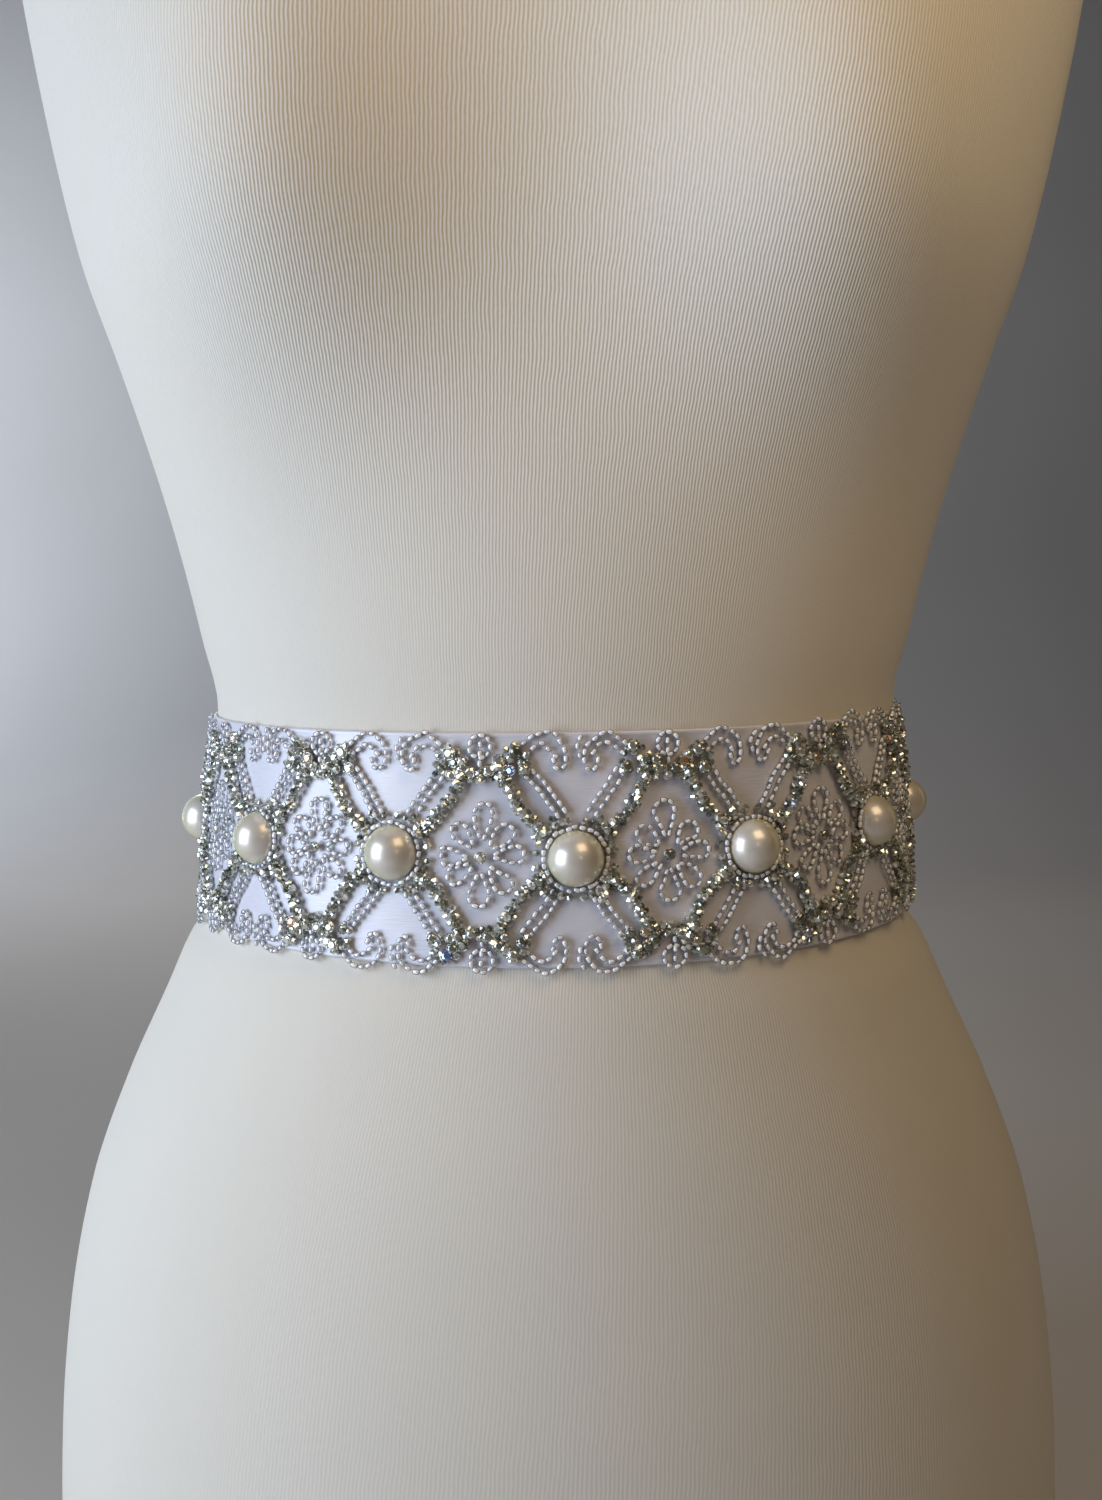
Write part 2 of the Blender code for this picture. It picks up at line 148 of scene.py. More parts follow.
def smooth_column(heights, values, at):
    """Cubic curve through the table's values, flat where they turn, so that it never overshoots."""
    step = np.diff(heights)
    rise = np.diff(values) / step
    slope = np.zeros(len(values))
    same_way = rise[:-1] * rise[1:] > 0
    slope[1:-1][same_way] = 2 * (rise[:-1] * rise[1:])[same_way] / (rise[:-1] + rise[1:])[same_way]
    slope[0], slope[-1] = rise[0], rise[-1]
    i = np.clip(np.searchsorted(heights, at) - 1, 0, len(step) - 1)
    t = (at - heights[i]) / step[i]
    return (
        values[i] * (1 + 2 * t) * (1 - t) ** 2
        + slope[i] * step[i] * t * (1 - t) ** 2
        + values[i + 1] * t**2 * (3 - 2 * t)
        - slope[i + 1] * step[i] * t**2 * (1 - t)
    )


def form_section(height):
    """Half width, depth in front and depth behind of the form at a height above the ribbon's middle."""
    table = np.array(FORM_ROWS) * MM
    return [float(smooth_column(table[:, 0], table[:, c], height)) for c in (1, 2, 3)]


def bust_rise(x, height):
    """How far the bust stands out in front of the section there."""
    reach = BUST_REACH_UP if height > BUST_HEIGHT else BUST_REACH_DOWN
    upright = math.exp(-(((height - BUST_HEIGHT) / reach) ** 2) / 2)
    across = sum(math.exp(-(((x - side) / BUST_SPREAD) ** 2) / 2) for side in (-BUST_SIDE, BUST_SIDE))
    return BUST_RISE * upright * across


def form_point(angle, height, shrink=1.0):
    """A point of the form's skin at an angle from the front, or nearer its axis for a shrink below 1."""
    half_width, front, back = form_section(height)
    x = half_width * math.sin(angle)
    forward = math.cos(angle)
    y = -(front if forward > 0 else back) * forward
    if forward > 0:
        y -= bust_rise(x, height) * min(1.0, forward / BUST_FADE)
    return Vector((x * shrink, y * shrink, SASH_HEIGHT + height))


def waist_angles():
    """Table of the angle round the waist against the length round it, both 0 at the centre front."""
    angles = np.linspace(-2 * math.pi, 2 * math.pi, 4001)
    speed = np.hypot(WAIST_HALF_WIDTH * np.cos(angles), WAIST_HALF_DEPTH * np.sin(angles))
    lengths = np.concatenate([[0], np.cumsum((speed[1:] + speed[:-1]) / 2 * np.diff(angles))])
    return lengths - np.interp(0, angles, lengths), angles


WAIST_LENGTHS, WAIST_ANGLES = waist_angles()
WAIST_ROUND = float(np.interp(2 * math.pi, WAIST_ANGLES, WAIST_LENGTHS))


def on_waist(along, rise, out):
    """The point a length round the waist from the centre front, at a rise, and so far out of the form."""
    angle = float(np.interp(along, WAIST_LENGTHS, WAIST_ANGLES))
    height = rise + SASH_CLIMB * WAIST_HALF_WIDTH * math.sin(angle)
    a = WAIST_HALF_WIDTH - WAIST_FLARE * height
    b = WAIST_HALF_DEPTH - WAIST_FLARE * height
    across = Vector((math.sin(angle) / a, -math.cos(angle) / b, 0)).normalized()
    point = Vector((a * math.sin(angle), -b * math.cos(angle), SASH_HEIGHT + height))
    return point + across * out


def on_pattern(x, y, level):
    """A point of the applique's flat pattern, in millimetres from the centre pearl, on the sash."""
    return on_waist(x * MM + SASH_TURN, y * MM - APPLIQUE_DROP, level * MM)


def outward(x, y):
    """Unit vector straight out of the sash at a point of the pattern."""
    along = on_pattern(x + 1, y, 2) - on_pattern(x - 1, y, 2)
    up = on_pattern(x, y + 1, 2) - on_pattern(x, y - 1, 2)
    return along.cross(up).normalized()


def new_piece(name, shape, material):
    """A finished mesh object at the origin, from a bmesh whose faces already point outwards."""
    mesh = bpy.data.meshes.new(name)
    shape.to_mesh(mesh)
    shape.free()
    mesh.materials.append(material)
    obj = bpy.data.objects.new(name, mesh)
    bpy.context.scene.collection.objects.link(obj)
    return obj


def grid_shell(rows, closed, uvs=None):
    """Quads between rows of equally many points, with UVs in metres if they are given."""
    shape = bmesh.new()
    layer = shape.loops.layers.uv.new("cloth") if uvs else None
    verts = [[shape.verts.new(p) for p in row] for row in rows]
    count = len(rows[0])
    for r in range(len(rows) - 1):
        for i in range(count if closed else count - 1):
            j = (i + 1) % count
            face = shape.faces.new((verts[r][i], verts[r][j], verts[r + 1][j], verts[r + 1][i]))
            face.smooth = True
            if uvs:
                corners = (uvs[r][i], uvs[r][i + 1], uvs[r + 1][i + 1], uvs[r + 1][i])
                for loop, uv in zip(face.loops, corners):
                    loop[layer].uv = uv
    return shape, verts


def srgb(code):
    """The hex colour as linear red, green, blue and alpha."""
    parts = [int(code[i : i + 2], 16) / 255 for i in (1, 3, 5)]
    return [c / 12.92 if c <= 0.04045 else ((c + 0.055) / 1.055) ** 2.4 for c in parts] + [1.0]


def add_node(tree, kind, inputs=None, **settings):
    """Adds a node to the tree with these settings, and sets or links its inputs."""
    made = tree.nodes.new(kind)
    for name, value in settings.items():
        setattr(made, name, value)
    for key, value in (inputs or {}).items():
        if isinstance(value, bpy.types.NodeSocket):
            tree.links.new(value, made.inputs[key])
        else:
            made.inputs[key].default_value = value
    return made


def new_material(name):
    """An empty material with its node tree and its output node."""
    material = bpy.data.materials.new(name)
    material.use_nodes = True
    tree = material.node_tree
    tree.nodes.clear()
    return material, tree, tree.nodes.new("ShaderNodeOutputMaterial")


def calculate(tree, operation, *values):
    """The result of a maths node on these values or sockets."""
    return add_node(tree, "ShaderNodeMath", dict(enumerate(values)), operation=operation).outputs[0]


def noise(tree, vector, size, detail):
    """Noise whose features are about this many metres across."""
    inputs = {"Vector": vector, "Scale": 1 / size, "Detail": detail}
    return add_node(tree, "ShaderNodeTexNoise", inputs).outputs["Fac"]


def remap(tree, value, low, high, to_low=0.0, to_high=1.0):
    """The value moved from one range into another."""
    inputs = {"Value": value, "From Min": low, "From Max": high, "To Min": to_low, "To Max": to_high}
    return add_node(tree, "ShaderNodeMapRange", inputs).outputs[0]


def colour_ramp(tree, factor, *stops):
    """The colour at a factor between (position, hex) stops."""
    node = add_node(tree, "ShaderNodeValToRGB", {"Fac": factor})
    ramp = node.color_ramp
    while len(ramp.elements) < len(stops):
        ramp.elements.new(0.5)
    for element, (position, code) in zip(ramp.elements, stops):
        element.position = position
        element.color = srgb(code)
    return node.outputs["Color"]


def mix_colours(tree, factor, first, second):
    """The first colour where the factor is 0 and the second where it is 1."""
    inputs = {"Factor": factor, 6: first, 7: second}
    return add_node(tree, "ShaderNodeMix", inputs, data_type="RGBA").outputs[2]


def raise_relief(tree, height, strength, distance):
    """The surface normal over a relief of this height."""
    inputs = {"Height": height, "Strength": strength, "Distance": distance}
    return add_node(tree, "ShaderNodeBump", inputs).outputs[0]


def place_on(tree):
    """The place on the object, metres."""
    return add_node(tree, "ShaderNodeTexCoord").outputs["Object"]


def random_tone(tree):
    """The bead's or stone's own random tone, 0 to 1."""
    return add_node(tree, "ShaderNodeAttribute", attribute_name="tone").outputs["Fac"]


def facing_away(tree, low, high):
    """0 where the surface faces the eye and 1 where it turns away, between these two bounds."""
    edge = add_node(tree, "ShaderNodeLayerWeight", {"Blend": 0.5})
    return remap(tree, edge.outputs["Facing"], low, high)


def principled(tree, output, inputs):
    """Ends the material in a Principled shader with these inputs."""
    shader = add_node(tree, "ShaderNodeBsdfPrincipled", inputs)
    tree.links.new(shader.outputs[0], output.inputs["Surface"])


def cotton_jersey():
    # Fine ribbed cotton jersey pulled over foam: matt, with wales about 0.8 mm apart at the waist
    material, tree, output = new_material("cotton_jersey_knit")
    uv = add_node(tree, "ShaderNodeUVMap", uv_map="cloth")
    cloth = add_node(tree, "ShaderNodeSeparateXYZ", {"Vector": uv.outputs["UV"]})
    where = place_on(tree)
    # Each wale wanders by up to half its width over about 12 mm
    phase = calculate(tree, "MULTIPLY", cloth.outputs["X"], 2 * math.pi * JERSEY_WALES / JERSEY_GIRTH)
    bent = calculate(tree, "MULTIPLY_ADD", noise(tree, where, 12 * MM, 2.0), 8.0, phase)
    wale = calculate(tree, "COSINE", bent)
    # Loops along each wale about 1.5 mm long
    height = calculate(tree, "MULTIPLY_ADD", noise(tree, where, 1.5 * MM, 2.0), 1.6, wale)
    # The wales open where the cloth is stretched over the bust, so their relief grows above the waist
    stretched = remap(tree, cloth.outputs["Y"], 0.02, 0.15, 0.25, 1.0)
    relief = calculate(tree, "MULTIPLY", height, stretched)
    # The yarn is painted darker down in the grooves between the wales and lighter on their ridges: painted
    # shade in the recesses, following the relief
    shade = remap(tree, relief, -1.0, 2.6)
    yarn_and_groove_shade = colour_ramp(tree, shade, (0.0, "#CFC7B8"), (0.45, "#E3DDD1"), (1.0, "#EAE5DB"))
    # The yarn changes slowly over 25 mm
    warm = mix_colours(tree, noise(tree, where, 25 * MM, 3.0), yarn_and_groove_shade, srgb("#E2DACB"))
    inputs = {
        "Base Color": warm,
        "Roughness": 0.92,
        "Specular IOR Level": 0.2,
        "Sheen Weight": 0.12,
        "Sheen Roughness": 0.6,
        "Normal": raise_relief(tree, relief, 0.7, 0.08 * MM),
    }
    principled(tree, output, inputs)
    return material


def polyester_satin():
    # Woven satin ribbon: long smooth floats along it give a soft shine, and its threads, about
    # 0.25 mm, are drawn 0.5 mm apart so that they show. It ripples softly about every 30 mm
    material, tree, output = new_material("polyester_satin_ribbon")
    uv = add_node(tree, "ShaderNodeUVMap", uv_map="cloth").outputs["UV"]
    stretch = add_node(tree, "ShaderNodeMapping", {"Vector": uv, "Scale": (1.0, 12.0, 1.0)})
    threads = noise(tree, stretch.outputs[0], 6 * MM, 2.0)
    ripple = noise(tree, uv, 30 * MM, 2.0)
    height = calculate(tree, "MULTIPLY_ADD", ripple, 6.0, threads)
    tangent = add_node(tree, "ShaderNodeTangent", direction_type="UV_MAP", uv_map="cloth")
    # The ribbon's colour follows its ripples: a little darker in their troughs and lighter on their crests,
    # a painted shade on the waves
    inputs = {
        "Base Color": colour_ramp(tree, ripple, (0.3, "#D9D7DF"), (0.7, "#E1DFE5")),
        "Roughness": 0.32,
        "Specular IOR Level": 1.0,
        "Anisotropic": 0.6,
        "Sheen Weight": 0.15,
        "Sheen Roughness": 0.4,
        "Normal": raise_relief(tree, height, 0.8, 0.12 * MM),
        "Tangent": tangent.outputs[0],
    }
    principled(tree, output, inputs)
    return material


def silver_lined_glass():
    # Clear glass seed beads with a silvered hole: the lining is bright in the middle of each bead. Where
    # the bead turns away from the eye its colour is painted dark grey: painted shade standing in for the
    # dim room the thick glass reflects
    material, tree, output = new_material("silver_lined_glass_seed")
    lining = colour_ramp(tree, random_tone(tree), (0.0, "#E6E6E8"), (0.4, "#FAFAFC"), (1.0, "#FFFFFF"))
    inputs = {
        "Base Color": mix_colours(tree, facing_away(tree, 0.3, 0.5), lining, srgb("#5A5C60")),
        "Metallic": 0.12,
        "Roughness": 0.3,
        "Coat Weight": 1.0,
        "Coat Roughness": 0.05,
    }
    principled(tree, output, inputs)
    return material


def cut_crystal():
    # Foil-backed faceted glass: each flat facet mirrors its own part of the room. A few stones are painted
    # in blue,
    # pale yellow and orange tones: painted glints standing in for the coloured light that cut glass splits
    material, tree, output = new_material("foiled_cut_crystal")
    foil = ((0.0, "#7C7D70"), (0.3, "#B4B6A6"), (0.75, "#EDEEE6"), (0.9, "#F5F5EA"))
    blue = ((0.91, "#7E98F0"), (0.945, "#9FB4F4"))
    warm = ((0.955, "#F2EFD8"), (0.985, "#E9C49A"), (1.0, "#E39A6A"))
    inputs = {
        "Base Color": colour_ramp(tree, random_tone(tree), *foil, *blue, *warm),
        "Metallic": 0.72,
        "Roughness": 0.1,
        "Coat Weight": 1.0,
        "Coat Roughness": 0.02,
    }
    principled(tree, output, inputs)
    return material


def silver_plate():
    # Pressed brass cups with silver plating, dulled a little where the polish has worn
    material, tree, output = new_material("silver_plated_brass")
    dull = noise(tree, place_on(tree), 1.2 * MM, 2.0)
    inputs = {
        "Base Color": colour_ramp(tree, dull, (0.3, "#A8A59C"), (0.7, "#DAD9D4")),
        "Metallic": 1.0,
        "Roughness": remap(tree, dull, 0.0, 1.0, 0.16, 0.4),
    }
    principled(tree, output, inputs)
    return material


def nylon_thread():
    # Clear nylon beading thread, twisted about every 0.6 mm
    material, tree, output = new_material("nylon_beading_thread")
    twist = noise(tree, place_on(tree), 0.6 * MM, 1.0)
    shade = colour_ramp(tree, twist, (0.3, "#B7B5BA"), (0.7, "#D2D0D6"))
    principled(tree, output, {"Base Color": shade, "Roughness": 0.35})
    return material


def pearl_lustre():
    # Glass pearl in a nacre lacquer: a cream body and a cool soft gloss. Its colour is painted greenish
    # gold where it turns from the eye: a painted sheen on the rim
    material, tree, output = new_material("glass_pearl_lacquer")
    body = colour_ramp(tree, noise(tree, place_on(tree), 9 * MM, 2.0), (0.3, "#E2D9CA"), (0.7, "#EBE4D8"))
    inputs = {
        "Base Color": mix_colours(tree, facing_away(tree, 0.3, 0.85), body, srgb("#EAE6B4")),
        "Metallic": 0.35,
        "Roughness": 0.34,
        "Coat Weight": 1.0,
        "Coat Roughness": 0.1,
    }
    principled(tree, output, inputs)
    return material


def painted_backdrop():
    # Pale emulsion on a smooth wall and floor
    material, tree, output = new_material("pale_matt_backdrop")
    cloud = noise(tree, place_on(tree), 0.5, 2.0)
    shade = colour_ramp(tree, cloud, (0.2, "#C3BAAF"), (0.8, "#CBC3B9"))
    principled(tree, output, {"Base Color": shade, "Roughness": 0.85})
    return material


def make_form(material):
    """The covered form: a smooth skin with rounded edges at its flat base and at its neck."""
    columns = FORM_COLUMNS
    angles = [2 * math.pi * i / columns for i in range(columns)]
    levels = [*BASE_ROWS, *[(float(h), 1.0) for h in np.linspace(*BODY_ROWS)], *NECK_ROWS]
    rows, uvs = [], []
    for height, shrink in levels:
        row = [form_point(a, height, shrink) for a in angles]
        rows.append(row)
        if shrink < FLAT_END_SHARE:
            # The flat ends are discs of cloth with their wales side by side
            uvs.append([(p.x, p.y) for p in [*row, row[0]]])
        else:
            lean = JERSEY_LEAN * height
            uvs.append([(JERSEY_GIRTH * i / columns - lean, height) for i in range(columns + 1)])
    shape, verts = grid_shell(rows, True, uvs)
    layer = shape.loops.layers.uv.active
    for row, turned in ((verts[0], True), (verts[-1], False)):
        middle = shape.verts.new(sum((v.co for v in row), Vector()) / columns)
        for i in range(columns):
            j = (i + 1) % columns
            corners = (row[j], row[i], middle) if turned else (row[i], row[j], middle)
            face = shape.faces.new(corners)
            face.smooth = True
            for loop in face.loops:
                loop[layer].uv = loop.vert.co.xy
    form = new_piece("jersey_dress_form", shape, material)
    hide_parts("dress_form")
    return form


def ribbon_lift(along):
    """How far the lapping end of the ribbon stands off, so that it passes over the other end."""
    lap_start = SASH_TURN + WAIST_ROUND / 2 - RIBBON_LAP / 2 - LAP_RAMP
    ramp = min(1.0, max(0.0, (along - lap_start) / LAP_RAMP))
    return (RIBBON_WALL + SEAM_GAP + 0.1 * MM) * ramp * ramp * (3 - 2 * ramp)


def make_ribbon(material):
    """Satin ribbon round the waist: a thin wall with a raised selvage along both edges."""
    half_length = (WAIST_ROUND + RIBBON_LAP) / 2
    half = RIBBON_WIDTH / 2
    profile = [(-half + inset * MM, level) for inset, level in SELVAGE]
    profile += [(float(rise), RIBBON_FACE) for rise in np.linspace(-half + 4 * MM, half - 4 * MM, 12)]
    profile += [(half - inset * MM, level) for inset, level in SELVAGE[::-1]]
    profile += [(half * share, RIBBON_BACK) for share in (0.5, 0, -0.5)]
    rows, uvs = [], []
    for along in np.linspace(SASH_TURN - half_length, SASH_TURN + half_length, RIBBON_STATIONS):
        lift = ribbon_lift(along)
        row = []
        for rise, level in profile:
            # The face is not quite flat, with soft waves 0.09 mm high
            wave = 0.09 * MM * math.sin(along / (9.0 * MM) + rise / (17 * MM))
            slack = wave if level == RIBBON_FACE else 0
            row.append(on_waist(float(along), rise, level * MM + lift + slack))
        rows.append(row)
        uvs.append([(float(along), rise) for rise, _ in profile] + [(float(along), -half)])
    shape, verts = grid_shell(rows, True, uvs)
    shape.faces.new(verts[0][::-1])
    shape.faces.new(verts[-1])
    bmesh.ops.recalc_face_normals(shape, faces=shape.faces)
    ribbon = new_piece("satin_ribbon_cloth", shape, material)
    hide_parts("satin_ribbon")
    return ribbon


def curved(points):
    """A smooth open line through the points, with a point about every LINE_STEP."""
    pts = [Vector(p) for p in points]
    count = len(pts)
    line = []
    for i in range(count - 1):
        a = pts[i - 1] if i else pts[0] * 2 - pts[1]
        b, c = pts[i], pts[i + 1]
        d = pts[i + 2] if i + 2 < count else pts[-1] * 2 - pts[-2]
        steps = max(2, round((c - b).length / LINE_STEP))
        for k in range(steps):
            t = k / steps
            line.append(
                b * 1.0
                + (c - a) * 0.5 * t
                + (a * 2 - b * 5 + c * 4 - d) * 0.5 * t * t
                + (b * 3 - a - c * 3 + d) * 0.5 * t * t * t
            )
    line.append(pts[-1])
    return line


def beside(line, offset):
    """The line moved sideways, to its left for a positive offset."""
    moved = []
    for i, point in enumerate(line):
        way = line[min(i + 1, len(line) - 1)] - line[max(i - 1, 0)]
        moved.append(point + Vector((-way.y, way.x)).normalized() * offset)
    return moved


def ring_line(centre, radius, start=0.0, end=2 * math.pi):
    """An arc of a ring about a centre, counter-clockwise."""
    steps = max(6, round(radius * abs(end - start) / LINE_STEP))
    closed = abs(end - start) > 2 * math.pi - 1e-6
    angles = [start + (end - start) * i / steps for i in range(steps if closed else steps + 1)]
    return [Vector(centre) + Vector((math.cos(a), math.sin(a))) * radius for a in angles]


class Rows:
    """Bead rows gathered for one piece: flat lines with their levels, closed or open."""

    def __init__(self):
        self.lines = []

    def add(self, line, level, closed=False):
        self.lines.append(([Vector(p) for p in line], level, closed))


# One quadrant of the net, millimetres outwards and up from the middle of the repeat
DIAMOND_ARM = ((8.2, 6.0), (11.6, 8.6), (14.7, 12.0), (16.8, 15.4), (18.6, 18.9), (20.4, 22.9))
BRIDGE = ((19.4, 20.1), (21.8, 20.9), (25.15, 21.2))
CROWN = ((20.4, 23.4), (18.6, 26.1), (15.8, 27.8), (14.0, 25.6), (13.4, 22.4))
INNER_STRAND = ((12.8, 21.4), (10.0, 17.8), (7.6, 14.4), (5.2, 10.8))
LOBE_OUTER = (
    (15.4, 27.9),
    (12.4, 30.4),
    (9.4, 32.2),
    (6.2, 31.9),
    (3.6, 29.8),
    (2.6, 26.6),
    (3.4, 23.4),
    (5.2, 22.4),
    (6.2, 25.0),
)
LOBE_INNER = ((13.2, 26.6), (11.6, 28.0), (9.0, 29.4), (6.9, 28.6), (5.4, 26.8))
NOTCH = ((1.7, 30.8), (0.5, 28.8), (0.9, 26.2))
PETAL_TIPS = (14.2, 11.8, 11.6, 11.6, 13.6, 11.2, 10.8, 11.4)
PETAL_SIDE = ((0.38, 0.16), (0.54, 0.33), (0.74, 0.5), (0.91, 0.42))
UPRIGHT_PETAL_WIDTH, PETAL_WIDTH = 5.2, 4.6

# Bunches of cut beads by the pearl, radius and half angle of each arc, and how far the rows of the
# other bunches lie to each side of their lines
BUNCH_ARCS = ((10.6, 0.6), (12.4, 0.25))
ARM_SPREAD, CROWN_SPREAD, BRIDGE_SPREAD, STRAND_SPREAD = 1.15, 1.1, 1.0, 1.2

# Small loops between repeats at the ribbon's edges: height and radius, and their stalks' ends
LOOP_HEIGHT, LOOP_RADIUS, LOOP_STALK = 28.9, 3.0, (-4.6, -2.0, 0.6)

# Stones at the top of each quadrant, millimetres outwards and up, and their size
STONES = (
    (20.7, 24.4, 3.3),
    (16.2, 27.4, 3.5),
    (13.8, 22.6, 3.3),
    (18.0, 22.2, 3.0),
    (22.6, 22.1, 3.0),
    (18.4, 25.4, 2.8),
)
# Stones further out than this belong to the bridge, so the applique's two ends have none
BRIDGE_STONES_FROM = 22
# The stone in the middle of each flower
FLOWER_STONE = 3.0

# How far hand sewing moves things, millimetres: points of each kind of row, stones and edge loops,
# and the lean of a strand's rows
LOOSE_ROW, LOOSE_CROWN, LOOSE_STRAND = 0.25, 0.3, 0.2
LOOSE_STONE, LOOSE_LOOP, STRAND_LEAN = 0.45, 0.4, 0.9


def petal(centre, way, tip, width):
    """One flower petal as an open teardrop of points, narrow at the flower's middle."""
    along = Vector((math.cos(way), math.sin(way)))
    across = Vector((-along.y, along.x))
    shape = [*PETAL_SIDE, (1.0, 0.0), *[(f, -g) for f, g in PETAL_SIDE[::-1]]]
    return [Vector(centre) + along * (tip * f) + across * (width * g) for f, g in shape]


def repeat_place(k):
    """Centre of a repeat on the flat pattern: a few were sewn a little off their even places."""
    return Vector((k * REPEAT, 0)) + Vector(SEWN_OFF.get(k, (0.0, 0.0)))


def loose(rng, points, amount):
    """The points, each moved a little at random."""
    return [Vector(p) + Vector(rng.normal(0, amount, 2)) for p in points]


def lay_quadrant(rng, rows, stones, pearl, net, side, up, at_end):
    """One quadrant of a repeat: bunches by the pearl, the arm, crown and bridge, lobes and stones."""

    def placed(points):
        return [net + Vector((x * side, y * up)) for x, y in points]

    lean = rng.normal(0, STRAND_LEAN)
    middle_way = math.atan2(up, side)
    for radius, half_arc in BUNCH_ARCS:
        arc = ring_line((0, 0), radius, middle_way - half_arc, middle_way + half_arc)
        rows["cut"].add([pearl + p for p in arc], ROW_LEVEL)
    arm = curved(loose(rng, placed(DIAMOND_ARM), LOOSE_ROW))
    for offset, level in ((-ARM_SPREAD, ROW_LEVEL), (ARM_SPREAD, ROW_LEVEL), (0.0, TOP_LEVEL)):
        rows["cut"].add(beside(arm, offset), level)
    crown = curved(loose(rng, placed(CROWN), LOOSE_CROWN))
    for offset in (-CROWN_SPREAD, CROWN_SPREAD):
        rows["cut"].add(beside(crown, offset), ROW_LEVEL)
    if not at_end:
        bridge = curved(loose(rng, placed(BRIDGE), LOOSE_STRAND))
        for offset in (-BRIDGE_SPREAD, BRIDGE_SPREAD):
            rows["cut"].add(beside(bridge, offset), ROW_LEVEL)
    strand = curved(loose(rng, [(x + lean, y) for x, y in placed(INNER_STRAND)], LOOSE_STRAND))
    for offset in (-STRAND_SPREAD, STRAND_SPREAD):
        rows["inner"].add(beside(strand, offset), NET_LEVEL)
    for lobe in (LOBE_OUTER, LOBE_INNER) + ((NOTCH,) if side > 0 else ()):
        rows["fringe"].add(curved(loose(rng, placed(lobe), LOOSE_ROW)), NET_LEVEL)
    for x, y, size in STONES:
        if at_end and x > BRIDGE_STONES_FROM:
            continue
        spot = net + Vector((x * side, y * up)) + Vector(rng.normal(0, LOOSE_STONE, 2))
        stones.append((spot, size * rng.uniform(0.85, 1.1)))


def lay_flower(rng, rows, stones, centre, lift):
    """A flower between two repeats, with the small loops above and below it."""
    for i, tip in enumerate(PETAL_TIPS):
        way = math.pi / 2 - i * math.pi / 4 + rng.normal(0, 0.05)
        width = UPRIGHT_PETAL_WIDTH if i % 4 == 0 else PETAL_WIDTH
        outline = loose(rng, petal(centre, way, tip * rng.uniform(0.93, 1.04), width), LOOSE_STRAND)
        rows["inner"].add(curved(outline), NET_LEVEL)
    stones.append((centre, FLOWER_STONE))
    for up in (-1, 1):
        loop = centre + Vector((rng.normal(0, LOOSE_LOOP), lift + LOOP_HEIGHT * up))
        rows["fringe"].add([loop + p for p in ring_line((0, 0), LOOP_RADIUS)], NET_LEVEL, True)
        rows["fringe"].add(curved([loop + Vector((0, v * up)) for v in LOOP_STALK]), NET_LEVEL)


def lay_out(rng):
    """Every bead row of the applique by its kind, and every stone with its size."""
    rows = {kind: Rows() for kind in ("fringe", "inner", "halo", "cut")}
    stones = []
    reach = PEARL_COUNT // 2
    for k in range(-reach, reach + 1):
        pearl = repeat_place(k)
        rows["halo"].add([pearl + p for p in ring_line((0, 0), HALO_RADIUS)], HALO_LEVEL, True)
        net = pearl + Vector((0, NET_LIFT.get(k, 0.0)))
        for side in (-1, 1):
            for up in (-1, 1):
                lay_quadrant(rng, rows, stones, pearl, net, side, up, k == side * reach)
        if k < reach:
            centre = (pearl + repeat_place(k + 1)) / 2
            lift = (NET_LIFT.get(k, 0.0) + NET_LIFT.get(k + 1, 0.0)) / 2
            lay_flower(rng, rows, stones, centre, lift)
    return rows, stones


def rows_object(name, rows):
    """The rows as a wire mesh on the sash, each point with the way straight out of the cloth."""
    verts, edges, ways = [], [], []
    for line, level, closed in rows.lines:
        base = len(verts)
        for p in line:
            verts.append(on_pattern(p.x, p.y, level))
            ways.append(outward(p.x, p.y))
        edges += [(base + i, base + i + 1) for i in range(len(line) - 1)]
        if closed:
            edges.append((base + len(line) - 1, base))
    mesh = bpy.data.meshes.new(name)
    mesh.from_pydata(verts, edges, [])
    mesh.attributes.new("outward", "FLOAT_VECTOR", "POINT").data.foreach_set("vector", np.ravel(ways))
    obj = bpy.data.objects.new(name, mesh)
    bpy.context.scene.collection.objects.link(obj)
    return obj


def points_object(name, stones):
    """The stones as points on the sash, each with the way out of the cloth and its size."""
    verts = [on_pattern(p.x, p.y, STONE_LEVEL) for p, _ in stones]
    mesh = bpy.data.meshes.new(name)
    mesh.from_pydata(verts, [], [])
    ways = [outward(p.x, p.y) for p, _ in stones]
    mesh.attributes.new("outward", "FLOAT_VECTOR", "POINT").data.foreach_set("vector", np.ravel(ways))
    mesh.attributes.new("size", "FLOAT", "POINT").data.foreach_set("value", [size for _, size in stones])
    obj = bpy.data.objects.new(name, mesh)
    bpy.context.scene.collection.objects.link(obj)
    return obj


def lathe(profile, sides, smooth):
    """A turned shape about Z through (radius, height) pairs, closed at both ends."""
    shape = bmesh.new()
    rings = []
    for radius, z in profile:
        angles = [2 * math.pi * i / sides for i in range(sides)]
        corners = [(radius * math.cos(a), radius * math.sin(a), z) for a in angles]
        rings.append([shape.verts.new(corner) for corner in corners])
    for low, high in zip(rings, rings[1:]):
        for i in range(sides):
            j = (i + 1) % sides
            shape.faces.new((low[i], low[j], high[j], high[i]))
    shape.faces.new(rings[0][::-1])
    shape.faces.new(rings[-1])
    for face in shape.faces:
        face.smooth = smooth
    return shape


def template(name, shape):
    """A small shape that the node trees copy, kept out of the scene."""
    mesh = bpy.data.meshes.new(name)
    shape.to_mesh(mesh)
    shape.free()
    return bpy.data.objects.new(name, mesh)


